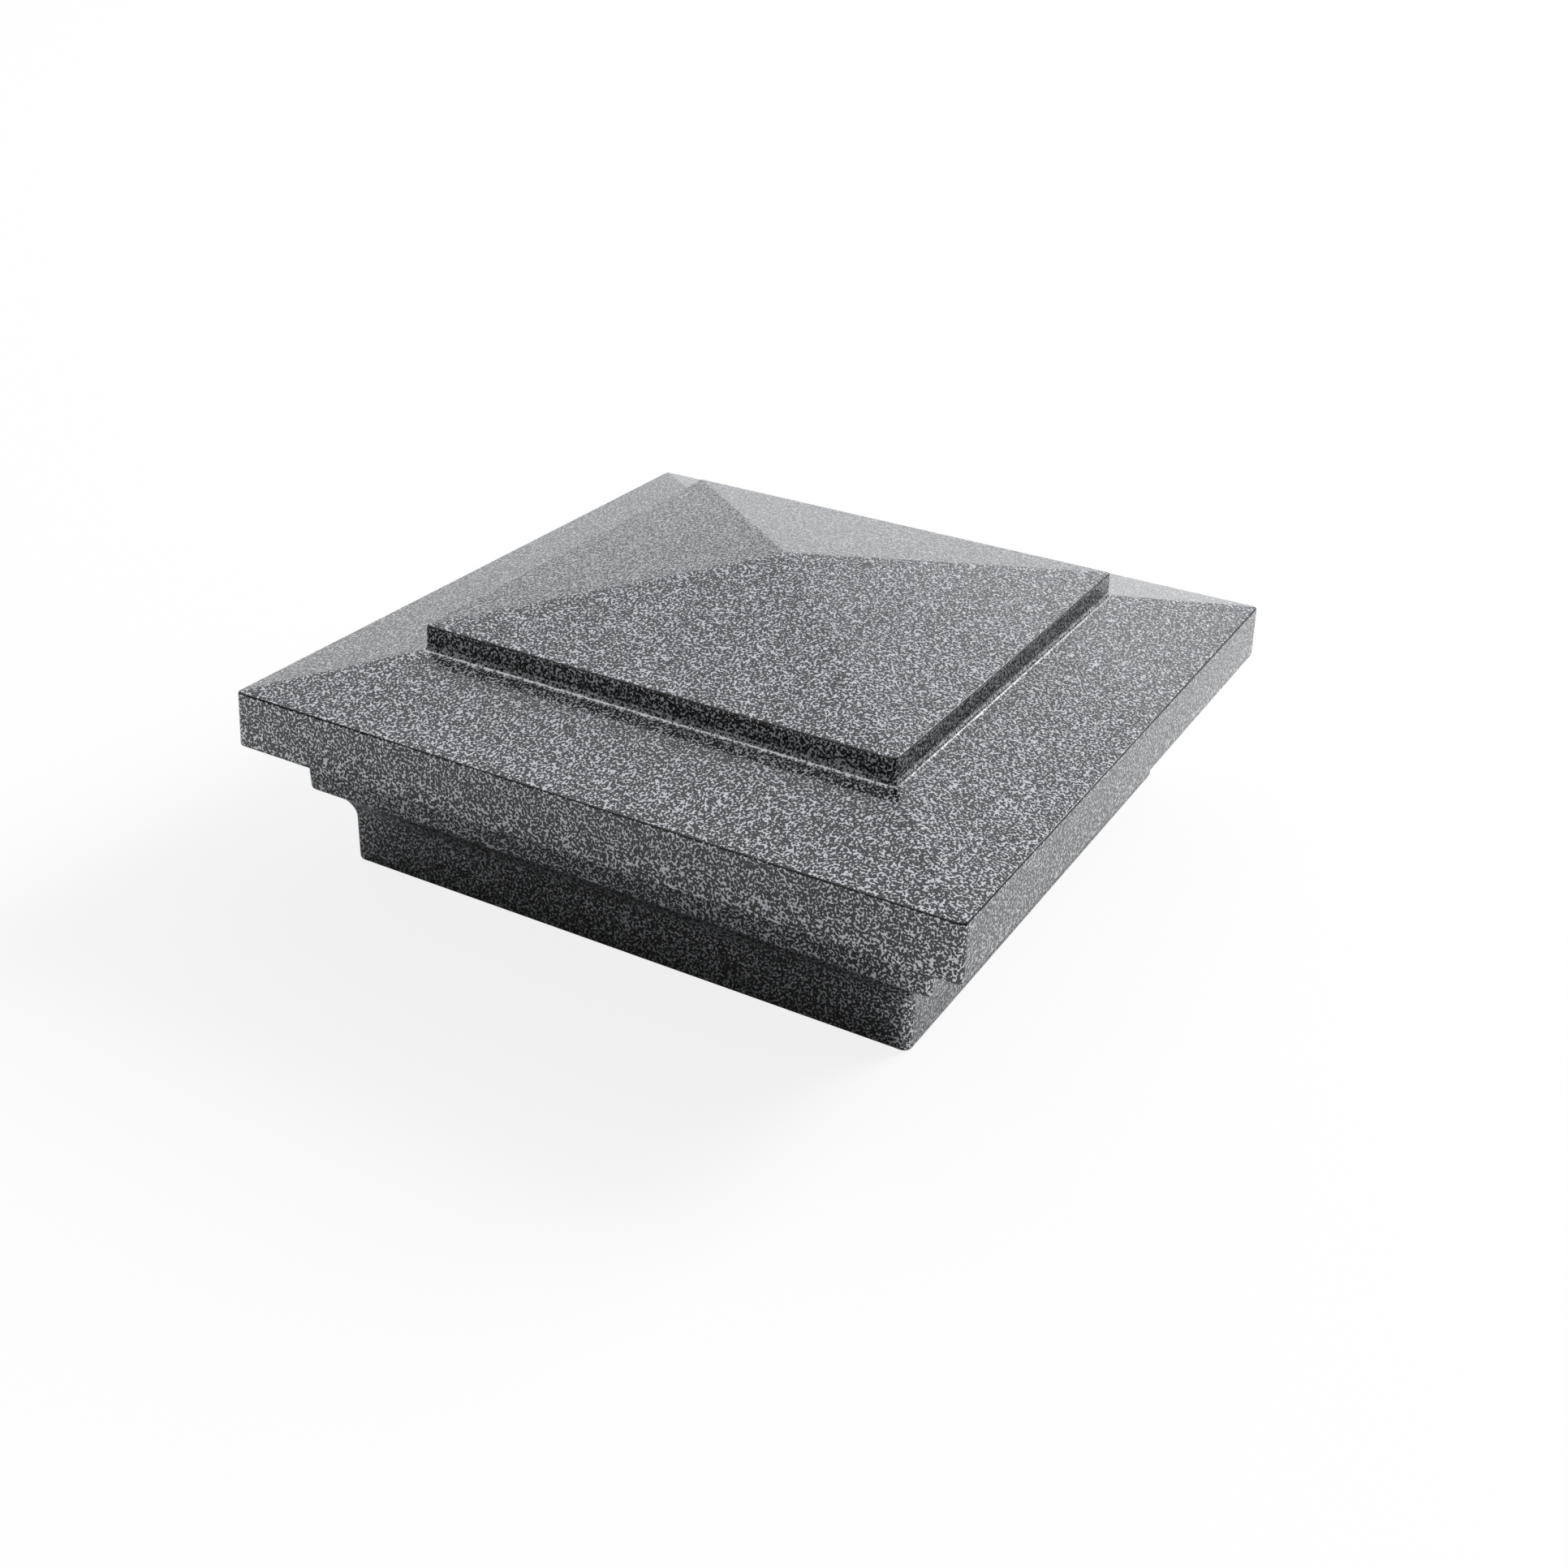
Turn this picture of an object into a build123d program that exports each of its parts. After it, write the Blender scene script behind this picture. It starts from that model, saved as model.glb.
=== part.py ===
from build123d import *
from math import radians, tan
import os

# Square stepped post cap, moulded in one piece and hollow underneath. All sizes are in millimetres.
# The origin is the centre of the skirt's rim. +Z points up to the apex, +X and +Y to flat sides.

# The post that the cap slides over, the room left around it and the moulded wall
post_size = 101.6
post_clearance = 0.7
wall = 2.5

# Outside widths across the flats, each at the foot of its tier
skirt_width = post_size + 2 * (post_clearance + wall)
step_width = 117.8
brim_width = 133.35
plinth_width = 88.45

# Heights of the tiers
skirt_height = 14.9
step_height = 9.4
brim_height = 9.95
plinth_height = 4.5

# How far below the step the cove that carries the skirt out to it begins
cove_drop = 6.5

# Slopes of the brim's top and of the roof, and the draft of the upright faces, in degrees
brim_slope = 12.45
roof_slope = 10.8
tier_draft = 2.0

# Radii of the rounded edges
skirt_corner_radius = 1.5
step_edge_radius = 0.9
brim_corner_radius = 1.0
brim_foot_radius = 0.5
plinth_corner_radius = 0.8
plinth_foot_radius = 1.2
hip_radius = 2.0
top_edge_radius = 0.45
rim_radius = 0.8

# How far a rounded corner may pull the end of an edge from its level or from its diagonal
edge_slack = 0.6


def run(height, degrees):
    """Horizontal run of a face that leans by this angle over this height."""
    return height * tan(radians(degrees))


def rise(width, degrees):
    """Vertical rise of a face that slopes by this angle over this width."""
    return width * tan(radians(degrees))


# Half widths where each face meets the next
skirt_half = skirt_width / 2
step_half = step_width / 2
step_top_half = step_half + run(step_height, tier_draft)
brim_half = brim_width / 2
brim_edge_half = brim_half - run(brim_height, tier_draft)
plinth_half = plinth_width / 2
plinth_edge_half = plinth_half - run(plinth_height, tier_draft)

# Levels above the rim
cove_foot = skirt_height - cove_drop
step_foot = skirt_height
brim_foot = step_foot + step_height
brim_edge = brim_foot + brim_height
plinth_foot = brim_edge + rise(brim_edge_half - plinth_half, brim_slope)
plinth_edge = plinth_foot + plinth_height
apex = plinth_edge + rise(plinth_edge_half, roof_slope)


def crossed(profile):
    """Square body that shows this profile both from the front and from the side."""
    with BuildPart() as body:
        with BuildSketch(Plane.XZ):
            add(profile)
        extrude(amount=brim_half, both=True)
        with BuildSketch(Plane.YZ):
            add(profile)
        extrude(amount=brim_half, both=True, mode=Mode.INTERSECT)
    return body.part


def corner_edges(part, low, high):
    """Edges along the four corners of the square whose middles lie between two levels."""

    def on_diagonal(edge):
        ends = (edge @ 0, edge @ 1)
        return all(abs(abs(end.X) - abs(end.Y)) < edge_slack for end in ends)

    return part.edges().filter_by(on_diagonal).filter_by(lambda edge: low < edge.center().Z < high)


def level_edges(part, level, inner_half=0):
    """Edges at one level that lie outside a half width, with the short ones round the corners."""

    def at_level(edge):
        return all(abs(end.Z - level) < edge_slack for end in (edge @ 0, edge @ 1))

    def outside_half(edge):
        return max(abs(edge.center().X), abs(edge.center().Y)) > inner_half

    return part.edges().filter_by(at_level).filter_by(outside_half)


# Profile of the moulding, from the rim up over the skirt, cove, step, brim, plinth and roof
with BuildSketch() as outside:
    with BuildLine():
        Line((0, 0), (skirt_half, 0))
        skirt_side = Line((skirt_half, 0), (skirt_half, cove_foot))
        TangentArc(skirt_side @ 1, (step_half, step_foot), tangent=skirt_side % 1)
        Polyline(
            (step_half, step_foot),
            (step_top_half, brim_foot),
            (brim_half, brim_foot),
            (brim_edge_half, brim_edge),
            (plinth_half, plinth_foot),
            (plinth_edge_half, plinth_edge),
            (0, apex),
            (0, 0),
        )
    make_face()
    mirror(about=Plane.YZ)

# The hollow follows the same profile one wall further in, and runs out through the mouth
with BuildSketch() as inside:
    add(outside.sketch)
    offset(amount=-wall, kind=Kind.INTERSECTION, mode=Mode.REPLACE)
    Rectangle(skirt_width - 2 * wall, 2 * wall)

outer_body = crossed(outside.sketch)
hollow = crossed(inside.sketch)

with BuildPart() as post_cap:
    add(outer_body)

    # Upright corners of the skirt with its cove, then of the step together with its lower edge
    fillet(corner_edges(post_cap, 0, step_foot - edge_slack), skirt_corner_radius)
    step_corners = corner_edges(post_cap, step_foot, brim_foot - edge_slack)
    fillet(step_corners + level_edges(post_cap, step_foot), step_edge_radius)

    # Upright corners of the plinth and the brim
    fillet(corner_edges(post_cap, plinth_foot, plinth_edge), plinth_corner_radius)
    fillet(corner_edges(post_cap, brim_foot, brim_edge), brim_corner_radius)

    # Hips of the roof and of the brim's top, and the cove round the plinth's foot
    brim_hips = corner_edges(post_cap, brim_edge, plinth_foot)
    roof_hips = corner_edges(post_cap, plinth_edge + edge_slack, apex)
    fillet(brim_hips + roof_hips, hip_radius)
    fillet(level_edges(post_cap, plinth_foot), plinth_foot_radius)

    # Crisp upper edges of the plinth and the brim
    fillet(level_edges(post_cap, plinth_edge) + level_edges(post_cap, brim_edge), top_edge_radius)

    # Lower edge of the brim and the rim of the skirt
    fillet(level_edges(post_cap, brim_foot, step_top_half + edge_slack), brim_foot_radius)
    fillet(level_edges(post_cap, 0), rim_radius)

    add(hollow, mode=Mode.SUBTRACT)

post_cap.part.label = "post_cap"

os.makedirs("parts", exist_ok=True)
export_step(post_cap.part, "parts/post_cap.step")
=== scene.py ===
from math import cos, radians, sin

import bmesh
import bpy
from bpy.props import FloatProperty, FloatVectorProperty, PointerProperty
from mathutils import Matrix, Vector

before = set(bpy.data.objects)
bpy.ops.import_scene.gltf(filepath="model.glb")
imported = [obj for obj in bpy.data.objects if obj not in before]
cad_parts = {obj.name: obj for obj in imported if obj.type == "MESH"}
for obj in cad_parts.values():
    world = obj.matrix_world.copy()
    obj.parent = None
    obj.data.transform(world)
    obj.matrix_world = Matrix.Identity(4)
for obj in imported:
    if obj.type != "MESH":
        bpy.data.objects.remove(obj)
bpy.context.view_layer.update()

bl_info = {
    "name": "Square Post Cap",
    "version": (1, 0, 0),
    "blender": (4, 5, 0),
    "location": "3D View > Sidebar > Post Cap",
    "description": "Finishes a moulded post cap in a silver vein coat and sets up its studio",
    "category": "Object",
}

MILLIMETRE = 0.001

# Pattern of the coat: scales per cell, and reaches in cells
WANDER_SCALE = 1.3
WANDER_REACH = 0.55
BRANCH_SCALE = 1.43
DRIFT_SCALE = 0.2
# Scale and reach of the ragged line of the painted shade and painted glints along the upper edges
RAGGED_SCALE = 1.4
RAGGED_REACH = 1.1
FLAKE_SCALE = 4.0
PEEL_SCALE = 0.45

# How much the branches and the drift add to the distance from a cell's middle
BRANCH_SHARE = 0.85
DRIFT_SHARE = 0.06

# Where on that scale the veins' colour and their relief begin and are full
VEIN_STEP = (1.065, 1.11)
RISE_STEP = (0.9, 1.3)

# How much silver is painted into the cove as a painted reflection, against the painted highlight line
# along the plinth's foot, and how far both painted highlights fill the ground between the veins
COVE_HIGHLIGHT_SHARE = 0.4
HIGHLIGHT_FILL = 0.35

# Zones round an edge, in millimetres, for the painted highlight line along the plinth's foot, the painted
# reflection in the cove, the painted shade on the upper edges and the painted glints beside them: whole
# within the first distance, and none from the second on
FOOT_HIGHLIGHT_ZONE = (0.08, 0.2)
COVE_HIGHLIGHT_ZONE = (0.3, 0.55)
EDGE_SHADE_ZONE = (0.14, 0.24)
EDGE_GLINT_ZONE = (0.22, 0.45)

# How softly the lines along the edges turn the corners
CORNER_ROUNDING = 2.0 * MILLIMETRE

# Flakes: how bright the dim and the bright ones are, against the vein colour
DIM_FLAKE = 0.82
BRIGHT_FLAKE = 1.18

# Roughness of the ground and of the veins, and how bright the veins stay when seen along the surface
GROUND_ROUGHNESS = 0.3
VEIN_ROUGHNESS = 0.45
GLANCING_TINT = 0.55

# Refractive index of the clear gloss
GLOSS_INDEX = 1.72

# Depths and sides of a direction, from -1 to 1, between which what gloss mirrors changes
GLOSS_FADE = (-0.7, 0.4)
RIGHT_FADE = (0.2, 0.5)

# Heights of a direction over which the grey band's foot and top blur out
BAND_FOOT_BLUR = 0.05
BAND_TOP_BLUR = 0.2

# Softboxes round the cap, and the one that gloss doesn't mirror
SOFTBOXES = ("glow", "top", "front", "side", "rear")
UNMIRRORED = "rear"

# Width of the camera's sensor in millimetres, and the nearest that it sees, in metres
SENSOR_WIDTH = 36.0
NEAREST = 0.01


class VeinCoatSettings(bpy.types.PropertyGroup):
    """Colours and sizes of the silver vein coat."""

    ground_colour: FloatVectorProperty(
        name="Ground colour",
        description="Dark coat between the veins",
        subtype="COLOR",
        size=3,
        min=0.0,
        max=1.0,
        default=(0.006, 0.006, 0.007),
    )
    vein_colour: FloatVectorProperty(
        name="Vein colour",
        description="Silver flakes that gather in the veins",
        subtype="COLOR",
        size=3,
        min=0.0,
        max=1.0,
        default=(0.63, 0.655, 0.685),
    )
    # Painted highlight colour: the silver painted along the plinth's foot, in the cove and beside the
    # upper edges
    painted_highlight_colour: FloatVectorProperty(
        name="Painted highlight colour",
        description="Bright silver painted as a highlight along the plinth's foot and beside the upper edges",
        subtype="COLOR",
        size=3,
        min=0.0,
        max=1.0,
        default=(0.76, 0.78, 0.81),
    )
    plinth_foot: FloatVectorProperty(
        name="Plinth foot",
        description="Half width and level of the line along the plinth's foot",
        size=2,
        default=(44.6 * MILLIMETRE, 39.23 * MILLIMETRE),
        unit="LENGTH",
    )
    plinth_cove: FloatVectorProperty(
        name="Plinth cove",
        description="Half width and level of the middle of the cove round the plinth's foot",
        size=2,
        default=(44.24 * MILLIMETRE, 39.8 * MILLIMETRE),
        unit="LENGTH",
    )
    plinth_edge: FloatVectorProperty(
        name="Plinth edge",
        description="Half width and level of the plinth's upper edge",
        size=2,
        default=(44.07 * MILLIMETRE, 43.63 * MILLIMETRE),
        unit="LENGTH",
    )
    brim_edge: FloatVectorProperty(
        name="Brim edge",
        description="Half width and level of the brim's upper edge",
        size=2,
        default=(66.33 * MILLIMETRE, 34.25 * MILLIMETRE),
        unit="LENGTH",
    )
    cell_size: FloatProperty(
        name="Cell size",
        description="Width of the dark cells that the veins run round",
        default=0.43 * MILLIMETRE,
        min=0.1 * MILLIMETRE,
        unit="LENGTH",
    )
    vein_relief: FloatProperty(
        name="Vein relief",
        description="How far the veins stand above the ground",
        default=0.015 * MILLIMETRE,
        min=0.0,
        unit="LENGTH",
    )
    peel_relief: FloatProperty(
        name="Orange peel relief",
        description="Height of the slow waves in the coat",
        default=0.02 * MILLIMETRE,
        min=0.0,
        unit="LENGTH",
    )
    gloss_roughness: FloatProperty(
        name="Gloss roughness",
        description="Roughness of the clear gloss over the veins",
        default=0.05,
        min=0.0,
        max=1.0,
        subtype="FACTOR",
    )


class StudioSettings(bpy.types.PropertyGroup):
    """Camera, floor and light of the studio."""

    camera_azimuth: FloatProperty(
        name="Camera azimuth",
        description="Turn of the camera about the cap, from its front towards its right",
        default=radians(28.334),
        subtype="ANGLE",
    )
    camera_elevation: FloatProperty(
        name="Camera elevation",
        description="Height of the camera above the horizon",
        default=radians(28.396),
        subtype="ANGLE",
    )
    camera_roll: FloatProperty(
        name="Camera roll",
        description="Tilt of the camera about its line of sight",
        default=radians(2.299),
        subtype="ANGLE",
    )
    camera_distance: FloatProperty(
        name="Camera distance",
        description="Distance from the camera to the point that it looks at",
        default=342.47 * MILLIMETRE,
        unit="LENGTH",
    )
    camera_aim: FloatVectorProperty(
        name="Camera aim",
        description="Point that the camera looks at",
        subtype="TRANSLATION",
        size=3,
        default=(6.66 * MILLIMETRE, -9.58 * MILLIMETRE, 12.80 * MILLIMETRE),
    )
    camera_lens: FloatProperty(
        name="Camera lens",
        description="Focal length on a sensor 36 mm wide, in millimetres",
        default=44.305,
    )
    floor_colour: FloatVectorProperty(
        name="Floor colour",
        description="Plain pale floor",
        subtype="COLOR",
        size=3,
        min=0.0,
        max=1.0,
        default=(0.93, 0.93, 0.93),
    )
    floor_width: FloatProperty(
        name="Floor width",
        description="Width of the square floor",
        default=4.0,
        unit="LENGTH",
    )
    floor_front: FloatProperty(
        name="Floor in front",
        description="How far the floor reaches in front of the cap",
        default=0.3,
        unit="LENGTH",
    )
    floor_whiteness: FloatProperty(
        name="Floor whiteness",
        description="How far the floor is lifted to plain white where the camera sees it",
        default=0.85,
        min=0.0,
        max=1.0,
        subtype="FACTOR",
    )
    sky_colour: FloatVectorProperty(
        name="Sky colour",
        description="Slightly cool white that the sky sheds",
        subtype="COLOR",
        size=3,
        min=0.0,
        max=1.0,
        default=(0.965, 0.975, 1.0),
    )
    sky_strength: FloatProperty(
        name="Sky strength",
        description="Soft light from all round, where 1 renders a white floor white",
        default=1.22,
        min=0.0,
    )
    sky_front: FloatProperty(
        name="Sky in front",
        description="Share of the sky's soft light that is left in front of the cap",
        default=0.04,
        min=0.0,
        max=1.0,
        subtype="FACTOR",
    )
    sky_fade_start: FloatProperty(
        name="Sky fade start",
        description="Depth of a direction, from -1 in front to 1 behind, where the sky starts to brighten",
        default=-0.3,
    )
    sky_fade_end: FloatProperty(
        name="Sky fade end",
        description="Depth of a direction where the sky is as bright as behind the cap",
        default=0.9,
    )
    gloss_front: FloatProperty(
        name="Mirrored front",
        description="Brightness that gloss mirrors from the front, where 1 is white",
        default=0.05,
        min=0.0,
        max=1.0,
        subtype="FACTOR",
    )
    gloss_right: FloatProperty(
        name="Mirrored right",
        description="Brightness that gloss mirrors from the right, where 1 is white",
        default=0.2,
        min=0.0,
        max=1.0,
        subtype="FACTOR",
    )
    band_low: FloatProperty(
        name="Band foot",
        description="Height of a direction where the grey band that gloss mirrors begins",
        default=0.11,
    )
    band_high: FloatProperty(
        name="Band top",
        description="Height of a direction where the grey band begins to end",
        default=0.2,
    )
    band_depth: FloatProperty(
        name="Band depth",
        description="How much darker than white the grey band is",
        default=0.36,
        min=0.0,
        max=1.0,
        subtype="FACTOR",
    )
    lamp_distance: FloatProperty(
        name="Lamp distance",
        description="Distance of every softbox from the cap",
        default=4.0,
        unit="LENGTH",
    )
    glow_direction: FloatVectorProperty(
        name="Glow direction",
        description="Direction to the softbox low behind the cap, which gloss mirrors",
        subtype="DIRECTION",
        size=3,
        default=(-0.05, 0.93, 0.31),
    )
    glow_width: FloatProperty(
        name="Glow width",
        description="Width of the square softbox low behind the cap",
        default=1.7,
        unit="LENGTH",
    )
    glow_power: FloatProperty(
        name="Glow power",
        description="Power of the softbox low behind the cap, in watts",
        default=4.5,
        min=0.0,
    )
    top_direction: FloatVectorProperty(
        name="Top direction",
        description="Direction to the softbox overhead, which draws bright lines on the front edges",
        subtype="DIRECTION",
        size=3,
        default=(-0.42, -0.3, 0.82),
    )
    top_width: FloatProperty(
        name="Top width",
        description="Width of the square softbox overhead",
        default=2.5,
        unit="LENGTH",
    )
    top_power: FloatProperty(
        name="Top power",
        description="Power of the softbox overhead, in watts",
        default=11.5,
        min=0.0,
    )
    front_direction: FloatVectorProperty(
        name="Front direction",
        description="Direction to the softbox in front, which brightens coves and round edges",
        subtype="DIRECTION",
        size=3,
        default=(-0.42, -0.7, 0.57),
    )
    front_width: FloatProperty(
        name="Front width",
        description="Width of the square softbox in front",
        default=1.4,
        unit="LENGTH",
    )
    front_power: FloatProperty(
        name="Front power",
        description="Power of the softbox in front, in watts",
        default=2.2,
        min=0.0,
    )
    side_direction: FloatVectorProperty(
        name="Side direction",
        description="Direction to the softbox high behind, which draws bright lines on the right edges",
        subtype="DIRECTION",
        size=3,
        default=(0.33, 0.83, 0.45),
    )
    side_width: FloatProperty(
        name="Side width",
        description="Width of the square softbox high behind",
        default=0.6,
        unit="LENGTH",
    )
    side_power: FloatProperty(
        name="Side power",
        description="Power of the softbox high behind, in watts",
        default=6.8,
        min=0.0,
    )
    rear_direction: FloatVectorProperty(
        name="Rear direction",
        description="Direction to the softbox that lights the floor and the back, unseen by gloss",
        subtype="DIRECTION",
        size=3,
        default=(0.5, 0.9, 0.55),
    )
    rear_width: FloatProperty(
        name="Rear width",
        description="Width of the square softbox that lights the floor and the back",
        default=1.7,
        unit="LENGTH",
    )
    rear_power: FloatProperty(
        name="Rear power",
        description="Power of the softbox that lights the floor and the back, in watts",
        default=200.0,
        min=0.0,
    )


def add_node(tree, kind, place, settings=(), inputs=()):
    """Add a shader node at a place on the sheet, with its settings and its unlinked inputs."""
    node = tree.nodes.new(kind)
    node.location = place
    for name, value in dict(settings).items():
        setattr(node, name, value)
    for name, value in dict(inputs).items():
        node.inputs[name].default_value = value
    return node


def smooth_step(tree, place, source, low, high):
    """Smooth step of a value, from 0 at low to 1 at high."""
    step = add_node(
        tree,
        "ShaderNodeMapRange",
        place,
        {"interpolation_type": "SMOOTHSTEP"},
        {"From Min": low, "From Max": high},
    )
    tree.links.new(source, step.inputs["Value"])
    return step.outputs["Result"]


def combine(tree, place, operation, *values):
    """Math node on two or three values, each a socket or a number."""
    node = add_node(tree, "ShaderNodeMath", place, {"operation": operation})
    for slot, value in zip(node.inputs, values):
        if isinstance(value, (int, float)):
            slot.default_value = value
        else:
            tree.links.new(value, slot)
    return node.outputs["Value"]


def mix_colours(tree, place, factor, first, second):
    """Mix of two colours, each a socket or three numbers."""
    node = add_node(tree, "ShaderNodeMix", place, {"data_type": "RGBA"})
    tree.links.new(factor, node.inputs["Factor"])
    slots = [socket for socket in node.inputs if socket.type == "RGBA"]
    for slot, colour in zip(slots, (first, second)):
        if isinstance(colour, bpy.types.NodeSocket):
            tree.links.new(colour, slot)
        else:
            slot.default_value = (*colour, 1.0)
    return next(socket for socket in node.outputs if socket.type == "RGBA")


def bump(tree, place, height, distance, under=None):
    """Normals of a relief, laid over other normals where they are given."""
    node = add_node(tree, "ShaderNodeBump", place, inputs={"Strength": 1.0, "Distance": distance})
    tree.links.new(height, node.inputs["Height"])
    if under:
        tree.links.new(under, node.inputs["Normal"])
    return node.outputs["Normal"]


def noise(tree, place, source, scale, detail, output="Fac"):
    """Noise of a given scale on the coordinates from a socket."""
    node = add_node(tree, "ShaderNodeTexNoise", place, inputs={"Scale": scale, "Detail": detail})
    tree.links.new(source, node.inputs["Vector"])
    return node.outputs[output]


def wander(tree, place, source, scale, reach):
    """Coordinates pushed about by noise, by half of reach at the most."""
    x, y = place
    push = noise(tree, (x, y - 200), source, scale, 2.0, "Color")
    centred = add_node(tree, "ShaderNodeVectorMath", (x + 180, y - 200), {"operation": "SUBTRACT"})
    centred.inputs[1].default_value = (0.5, 0.5, 0.5)
    tree.links.new(push, centred.inputs[0])
    scaled = add_node(tree, "ShaderNodeVectorMath", (x + 360, y - 200), {"operation": "SCALE"})
    scaled.inputs["Scale"].default_value = reach
    tree.links.new(centred.outputs["Vector"], scaled.inputs[0])
    moved = add_node(tree, "ShaderNodeVectorMath", (x + 540, y), {"operation": "ADD"})
    tree.links.new(source, moved.inputs[0])
    tree.links.new(scaled.outputs["Vector"], moved.inputs[1])
    return moved.outputs["Vector"]


def profile_point(tree, place, source):
    """Distance out from the middle of the square plan, and height, as a vector."""
    x, y = place
    part = add_node(tree, "ShaderNodeSeparateXYZ", (x, y))
    tree.links.new(source, part.inputs["Vector"])
    from_side = combine(tree, (x + 200, y + 100), "ABSOLUTE", part.outputs["X"])
    from_front = combine(tree, (x + 200, y - 60), "ABSOLUTE", part.outputs["Y"])
    out = combine(tree, (x + 400, y), "SMOOTH_MAX", from_side, from_front, CORNER_ROUNDING)
    point = add_node(tree, "ShaderNodeCombineXYZ", (x + 600, y))
    tree.links.new(out, point.inputs["X"])
    tree.links.new(part.outputs["Z"], point.inputs["Y"])
    return point.outputs["Vector"]


def near_line(tree, place, point, line, full, none):
    """1 within a distance of a line round the square, and 0 from a further distance on."""
    x, y = place
    gap = add_node(tree, "ShaderNodeVectorMath", (x, y), {"operation": "DISTANCE"})
    gap.inputs[1].default_value = (*line, 0.0)
    tree.links.new(point, gap.inputs[0])
    away = smooth_step(tree, (x + 180, y), gap.outputs["Value"], full * MILLIMETRE, none * MILLIMETRE)
    return combine(tree, (x + 360, y), "SUBTRACT", 1.0, away)


def silver_vein_coat(settings):
    """Material of the cap: silver veins that stand round small dark cells, under a clear gloss."""
    coat = bpy.data.materials.new("silver_vein_coat")
    coat.use_nodes = True
    tree = coat.node_tree
    tree.nodes.clear()
    link = tree.links.new
    per_cell = 1.0 / settings.cell_size
    place = add_node(tree, "ShaderNodeTexCoord", (-2400, 0)).outputs["Object"]

    # The veins are what lies far from every cell's middle, broken up and branched by fine noise
    wandered = wander(tree, (-2200, 0), place, WANDER_SCALE * per_cell, WANDER_REACH * settings.cell_size)
    cells = add_node(tree, "ShaderNodeTexVoronoi", (-1440, 0), {"feature": "F1"}, {"Scale": per_cell})
    link(wandered, cells.inputs["Vector"])
    branches = noise(tree, (-1440, -260), place, BRANCH_SCALE * per_cell, 0.0)
    drift = noise(tree, (-1440, -460), place, DRIFT_SCALE * per_cell, 1.0)
    distance = cells.outputs["Distance"]
    branched = combine(tree, (-1240, -160), "MULTIPLY_ADD", branches, BRANCH_SHARE, distance)
    spread = combine(tree, (-1060, -160), "MULTIPLY_ADD", drift, DRIFT_SHARE, branched)

    # Painted shade in ragged dashes along the upper edges, painted glints beside them, a painted highlight
    # line along the plinth's foot and a painted reflection in the cove round it
    point = profile_point(tree, (-2200, 1200), wandered)
    ragged = wander(tree, (-3400, 600), place, RAGGED_SCALE * per_cell, RAGGED_REACH * settings.cell_size)
    ragged_point = profile_point(tree, (-2200, 700), ragged)
    # Painted highlight: a bright line along the plinth's foot
    foot_highlight = near_line(tree, (-1400, 1300), point, settings.plinth_foot, *FOOT_HIGHLIGHT_ZONE)
    # Painted reflection: the cove round the plinth's foot is painted lighter
    cove = near_line(tree, (-1400, 1100), point, settings.plinth_cove, *COVE_HIGHLIGHT_ZONE)
    # Painted shade in ragged dashes on the upper edges of the plinth and the brim
    plinth_edge_shade = near_line(tree, (-1400, 900), ragged_point, settings.plinth_edge, *EDGE_SHADE_ZONE)
    brim_edge_shade = near_line(tree, (-1400, 700), ragged_point, settings.brim_edge, *EDGE_SHADE_ZONE)
    # Painted glints in ragged dashes beside the upper edges of the plinth and the brim
    plinth_edge_glints = near_line(tree, (-1400, 500), ragged_point, settings.plinth_edge, *EDGE_GLINT_ZONE)
    brim_edge_glints = near_line(tree, (-1400, 300), ragged_point, settings.brim_edge, *EDGE_GLINT_ZONE)
    edge_shade = combine(tree, (-800, 800), "MAXIMUM", plinth_edge_shade, brim_edge_shade)
    edge_glints = combine(tree, (-800, 600), "MAXIMUM", plinth_edge_glints, brim_edge_glints)
    # The painted reflection in the cove and the painted highlight line join into one painted highlight
    # mask, which widens the veins
    painted_highlights = combine(tree, (-1040, 1000), "MULTIPLY", cove, COVE_HIGHLIGHT_SHARE)
    painted_highlights = combine(tree, (-860, 1000), "MAXIMUM", foot_highlight, painted_highlights)
    spread = combine(tree, (-860, -160), "MULTIPLY_ADD", painted_highlights, HIGHLIGHT_FILL, spread)
    # Painted shade takes the veins out along the upper edges
    spread = combine(tree, (-680, -160), "SUBTRACT", spread, edge_shade)
    vein = smooth_step(tree, (-480, 0), spread, *VEIN_STEP)
    rise = smooth_step(tree, (-480, -260), spread, *RISE_STEP)

    # Flakes make the veins uneven, and the painted highlights and painted glints turn them brighter, to
    # the highlight silver
    flakes = noise(tree, (-860, 260), place, FLAKE_SCALE * per_cell, 1.0)
    dim = [DIM_FLAKE * value for value in settings.vein_colour]
    bright = [BRIGHT_FLAKE * value for value in settings.vein_colour]
    silver = mix_colours(tree, (-620, 420), flakes, dim, bright)
    # Painted highlights and painted glints turn the silver to the highlight colour
    highlit = combine(tree, (-600, 640), "MAXIMUM", painted_highlights, edge_glints)
    highlighted_silver = mix_colours(tree, (-400, 420), highlit, silver, settings.painted_highlight_colour)
    colour = mix_colours(tree, (-180, 300), vein, settings.ground_colour, highlighted_silver)

    # The veins stand proud on slow waves of the coat
    veins_up = bump(tree, (-380, -260), rise, settings.vein_relief)
    peel = noise(tree, (-860, -560), place, PEEL_SCALE * per_cell, 2.0)
    waves = bump(tree, (-160, -420), peel, settings.peel_relief, veins_up)

    rough_range = {"To Min": GROUND_ROUGHNESS, "To Max": VEIN_ROUGHNESS}
    rough = add_node(tree, "ShaderNodeMapRange", (-380, 40), inputs=rough_range)
    link(vein, rough.inputs["Value"])

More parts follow.
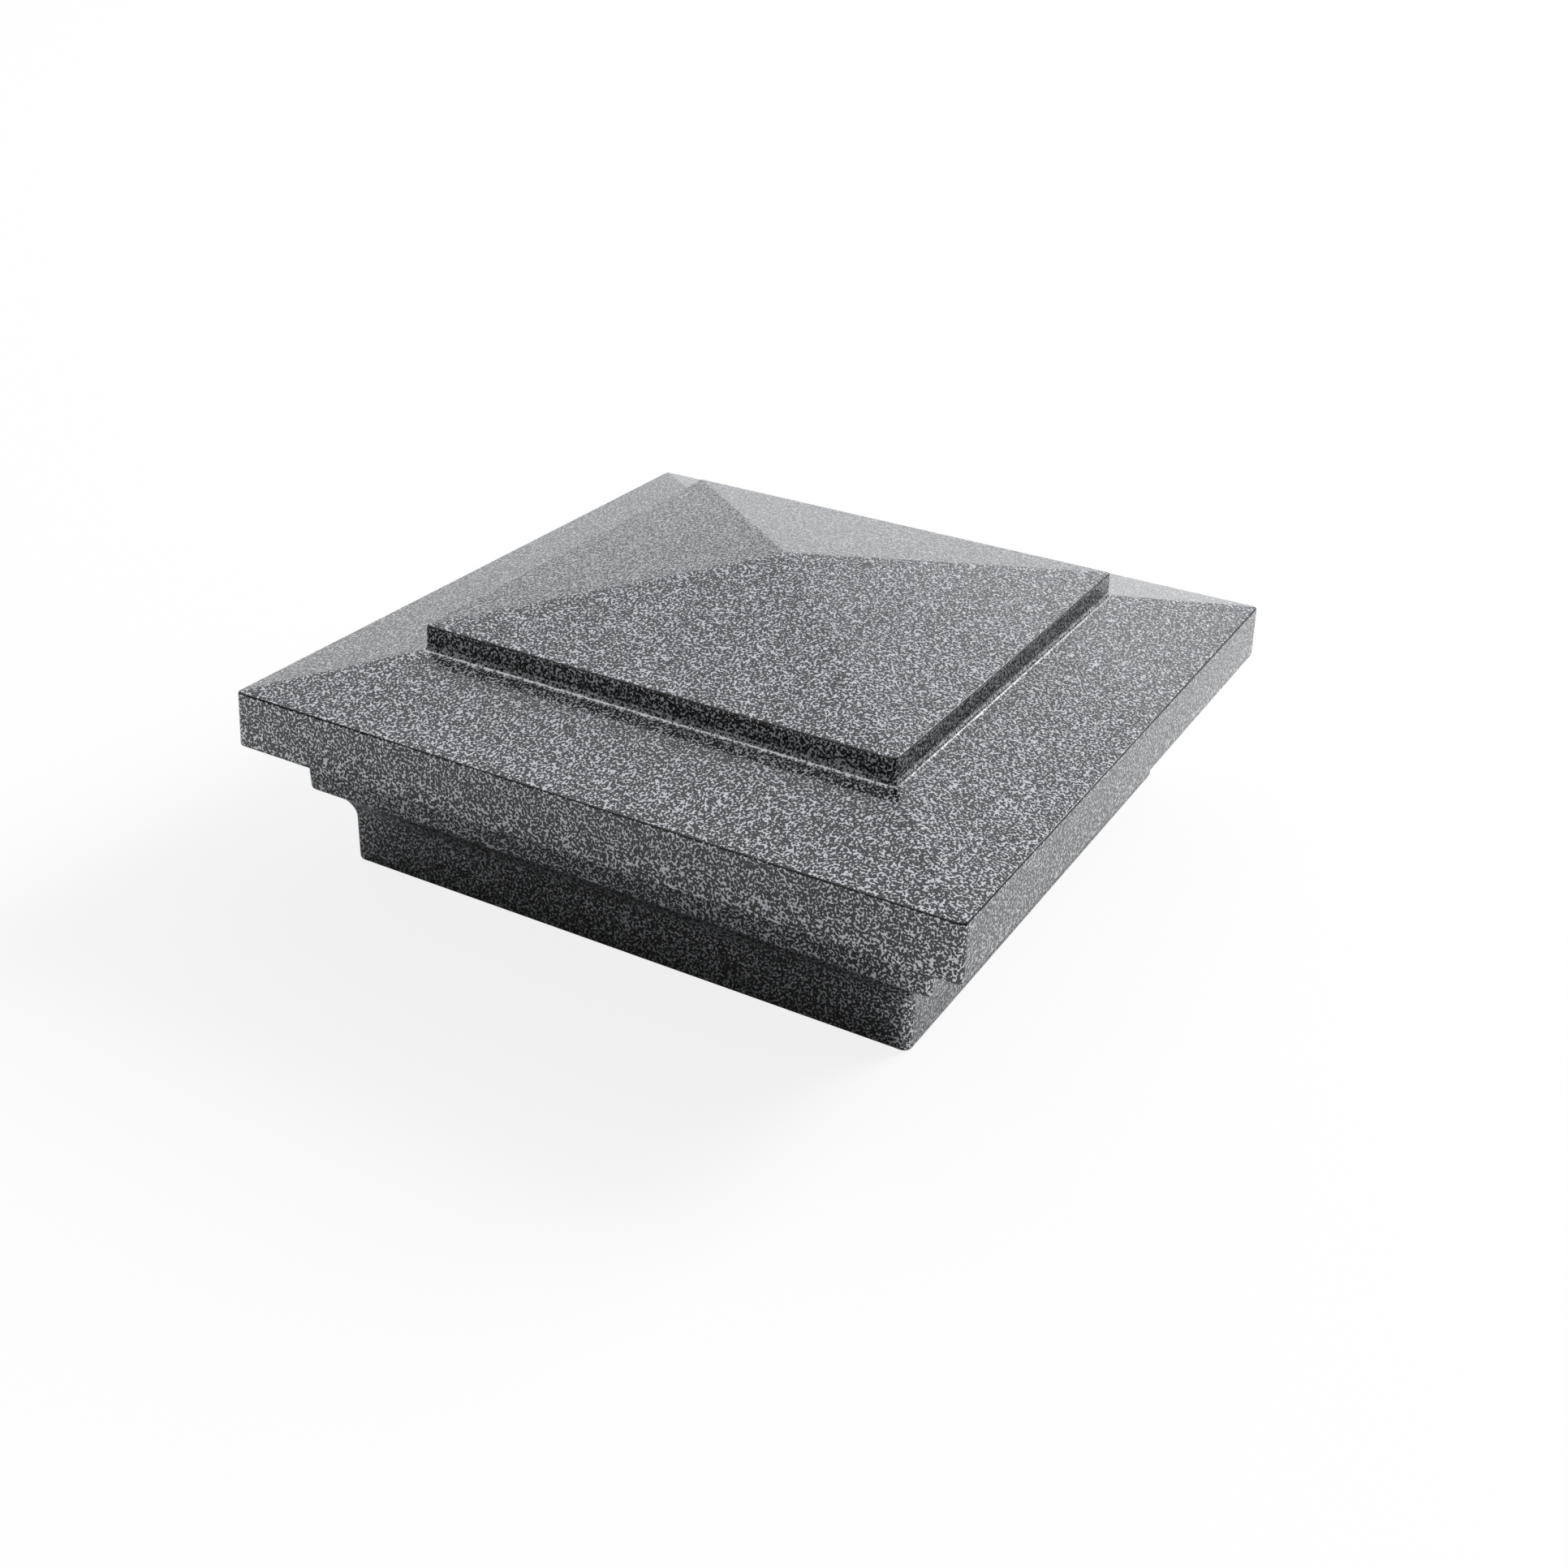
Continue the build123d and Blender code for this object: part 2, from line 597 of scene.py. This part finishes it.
    surface = add_node(
        tree,
        "ShaderNodeBsdfPrincipled",
        (120, 0),
        inputs={
            "IOR": 1.5,
            "Specular IOR Level": 0.0,
            "Specular Tint": (GLANCING_TINT, GLANCING_TINT, GLANCING_TINT, 1.0),
            "Coat Weight": 1.0,
            "Coat Roughness": settings.gloss_roughness,
            "Coat IOR": GLOSS_INDEX,
        },
    )
    link(colour, surface.inputs["Base Color"])
    link(vein, surface.inputs["Metallic"])
    link(rough.outputs["Result"], surface.inputs["Roughness"])
    link(waves, surface.inputs["Normal"])
    link(waves, surface.inputs["Coat Normal"])
    output = add_node(tree, "ShaderNodeOutputMaterial", (420, 0))
    link(surface.outputs["BSDF"], output.inputs["Surface"])
    return coat


def pale_floor_material(settings):
    """Plain matt floor, lifted towards white where the camera sees it, with its shadow kept."""
    matt = bpy.data.materials.new("pale_floor")
    matt.use_nodes = True
    tree = matt.node_tree
    tree.nodes.clear()
    floor_colour = (*settings.floor_colour, 1.0)
    lit = add_node(tree, "ShaderNodeBsdfDiffuse", (-200, 120), inputs={"Color": floor_colour})
    plain_white = {"Color": (1.0, 1.0, 1.0, 1.0), "Strength": 1.0}
    white = add_node(tree, "ShaderNodeEmission", (-200, -60), inputs=plain_white)
    path = add_node(tree, "ShaderNodeLightPath", (-600, 300))
    lift = combine(tree, (-200, 300), "MULTIPLY", path.outputs["Is Camera Ray"], settings.floor_whiteness)
    mix = add_node(tree, "ShaderNodeMixShader", (40, 100))
    output = add_node(tree, "ShaderNodeOutputMaterial", (240, 100))
    tree.links.new(lift, mix.inputs[0])
    tree.links.new(lit.outputs[0], mix.inputs[1])
    tree.links.new(white.outputs[0], mix.inputs[2])
    tree.links.new(mix.outputs[0], output.inputs["Surface"])
    return matt


def camera_turn(settings):
    """Rotation of the camera: its right, its up and its back, as columns."""
    azimuth = settings.camera_azimuth
    elevation = settings.camera_elevation
    back = Vector((sin(azimuth) * cos(elevation), -cos(azimuth) * cos(elevation), sin(elevation)))
    level_right = Vector((0.0, 0.0, 1.0)).cross(back).normalized()
    level_up = back.cross(level_right)
    roll = settings.camera_roll
    right = cos(roll) * level_right + sin(roll) * level_up
    up = cos(roll) * level_up - sin(roll) * level_right
    return Matrix((right, up, back)).transposed()


class POSTCAP_OT_shell(bpy.types.Operator):
    """Finish the moulded cap in its silver vein coat"""

    bl_idname = "postcap.shell"
    bl_label = "Coated Shell"

    def execute(self, context):
        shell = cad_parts["post_cap"]
        coat = silver_vein_coat(context.scene.vein_coat)
        for slot in shell.material_slots:
            slot.material = coat
        if not shell.material_slots:
            raise RuntimeError("the cap has no material slot to finish")
        return {"FINISHED"}


class POSTCAP_OT_studio(bpy.types.Operator):
    """Set up the floor, the light and the camera"""

    bl_idname = "postcap.studio"
    bl_label = "Studio"

    def execute(self, context):
        settings = context.scene.studio
        self.lay_floor(context, settings)
        self.light_sky(context, settings)
        for name in SOFTBOXES:
            softbox = self.hang_softbox(context, settings, name)
            softbox.visible_glossy = name != UNMIRRORED
        self.place_camera(context, settings)
        return {"FINISHED"}

    def lay_floor(self, context, settings):
        floor_mesh = bpy.data.meshes.new("floor")
        sheet = bmesh.new()
        bmesh.ops.create_grid(sheet, x_segments=1, y_segments=1, size=settings.floor_width / 2)
        back = settings.floor_width / 2 - settings.floor_front
        bmesh.ops.translate(sheet, vec=(0.0, back, 0.0), verts=sheet.verts)
        sheet.to_mesh(floor_mesh)
        sheet.free()
        floor_mesh.materials.append(pale_floor_material(settings))
        floor = bpy.data.objects.new("floor", floor_mesh)
        context.scene.collection.objects.link(floor)

    def light_sky(self, context, settings):
        world = bpy.data.worlds.new("white_studio")
        context.scene.world = world
        world.use_nodes = True
        tree = world.node_tree
        tree.nodes.clear()
        turn = add_node(tree, "ShaderNodeTexCoord", (-1400, -200))
        part = add_node(tree, "ShaderNodeSeparateXYZ", (-1200, -200))
        tree.links.new(turn.outputs["Generated"], part.inputs["Vector"])
        side, depth, height = (part.outputs[axis] for axis in "XYZ")

        # Light that falls on matt surfaces
        behind = smooth_step(tree, (-1000, 200), depth, settings.sky_fade_start, settings.sky_fade_end)
        front_share = settings.sky_front
        soft = combine(tree, (-800, 200), "MULTIPLY_ADD", behind, 1.0 - front_share, front_share)
        soft = combine(tree, (-600, 200), "MULTIPLY", soft, settings.sky_strength)

        # What gloss mirrors: white behind, with a grey band above the horizon, and dimmer to the right
        back = smooth_step(tree, (-1000, 0), depth, *GLOSS_FADE)
        band_foot = settings.band_low
        band_top = settings.band_high
        above = smooth_step(tree, (-1000, -200), height, band_foot, band_foot + BAND_FOOT_BLUR)
        below = smooth_step(tree, (-1000, -400), height, band_top, band_top + BAND_TOP_BLUR)
        band = combine(tree, (-800, -200), "SUBTRACT", above, below)
        white = combine(tree, (-600, -200), "MULTIPLY_ADD", band, -settings.band_depth, 1.0)
        gloss_front = settings.gloss_front
        front = combine(tree, (-800, -400), "MULTIPLY_ADD", back, 1.0 - gloss_front, gloss_front)
        mirrored = combine(tree, (-400, -200), "MULTIPLY", white, front)
        beside = smooth_step(tree, (-1000, -600), side, *RIGHT_FADE)
        beside = combine(tree, (-800, -600), "MULTIPLY_ADD", beside, settings.gloss_right - 1.0, 1.0)
        mirrored = combine(tree, (-300, -300), "MULTIPLY", mirrored, beside)

        # The camera sees plain white, and only matt surfaces get the soft light
        path = add_node(tree, "ShaderNodeLightPath", (-800, 600))
        by_camera = path.outputs["Is Camera Ray"]
        shown = combine(tree, (-200, -200), "MAXIMUM", mirrored, by_camera)
        seen = combine(tree, (-600, 600), "MAXIMUM", by_camera, path.outputs["Is Glossy Ray"])
        seen = combine(tree, (-420, 600), "MAXIMUM", seen, path.outputs["Is Transmission Ray"])
        strength = add_node(tree, "ShaderNodeMix", (0, 200))
        tree.links.new(seen, strength.inputs["Factor"])
        tree.links.new(soft, strength.inputs["A"])
        tree.links.new(shown, strength.inputs["B"])
        tone = mix_colours(tree, (0, -100), by_camera, settings.sky_colour, (1.0, 1.0, 1.0))
        sky = add_node(tree, "ShaderNodeBackground", (200, 0))
        tree.links.new(tone, sky.inputs["Color"])
        tree.links.new(strength.outputs["Result"], sky.inputs["Strength"])
        output = add_node(tree, "ShaderNodeOutputWorld", (400, 0))
        tree.links.new(sky.outputs["Background"], output.inputs["Surface"])

    def hang_softbox(self, context, settings, name):
        lamp = bpy.data.lights.new(name + "_softbox", "AREA")
        lamp.shape = "SQUARE"
        lamp.size = getattr(settings, name + "_width")
        lamp.energy = getattr(settings, name + "_power")
        softbox = bpy.data.objects.new(name + "_softbox", lamp)
        away = Vector(getattr(settings, name + "_direction")).normalized()
        softbox.location = settings.lamp_distance * away
        softbox.rotation_euler = away.to_track_quat("Z", "Y").to_euler()
        context.scene.collection.objects.link(softbox)
        return softbox

    def place_camera(self, context, settings):
        view = bpy.data.cameras.new("camera")
        view.sensor_width = SENSOR_WIDTH
        view.lens = settings.camera_lens
        view.clip_start = NEAREST
        camera = bpy.data.objects.new("camera", view)
        turn = camera_turn(settings)
        back = turn.col[2]
        place = Vector(settings.camera_aim) + settings.camera_distance * back
        camera.matrix_world = Matrix.Translation(place) @ turn.to_4x4()
        context.scene.collection.objects.link(camera)
        context.scene.camera = camera


class POSTCAP_PT_sidebar(bpy.types.Panel):
    """Steps and settings of the post cap"""

    bl_label = "Post Cap"
    bl_idname = "POSTCAP_PT_sidebar"
    bl_space_type = "VIEW_3D"
    bl_region_type = "UI"
    bl_category = "Post Cap"

    def draw(self, context):
        layout = self.layout
        for step in STEPS:
            layout.operator(step.bl_idname)
        for settings in (context.scene.vein_coat, context.scene.studio):
            box = layout.box()
            for name in settings.__annotations__:
                box.prop(settings, name)


STEPS = (POSTCAP_OT_shell, POSTCAP_OT_studio)
CLASSES = (VeinCoatSettings, StudioSettings, *STEPS, POSTCAP_PT_sidebar)


def register():
    for kind in CLASSES:
        bpy.utils.register_class(kind)
    bpy.types.Scene.vein_coat = PointerProperty(type=VeinCoatSettings)
    bpy.types.Scene.studio = PointerProperty(type=StudioSettings)


def unregister():
    del bpy.types.Scene.studio
    del bpy.types.Scene.vein_coat
    for kind in reversed(CLASSES):
        bpy.utils.unregister_class(kind)


def main():
    """Register the add-on and run its steps in order."""
    register()
    bpy.context.scene.view_settings.view_transform = "Standard"
    bpy.ops.postcap.shell()
    bpy.ops.postcap.studio()
    bpy.context.view_layer.update()


if __name__ == "__main__":
    main()
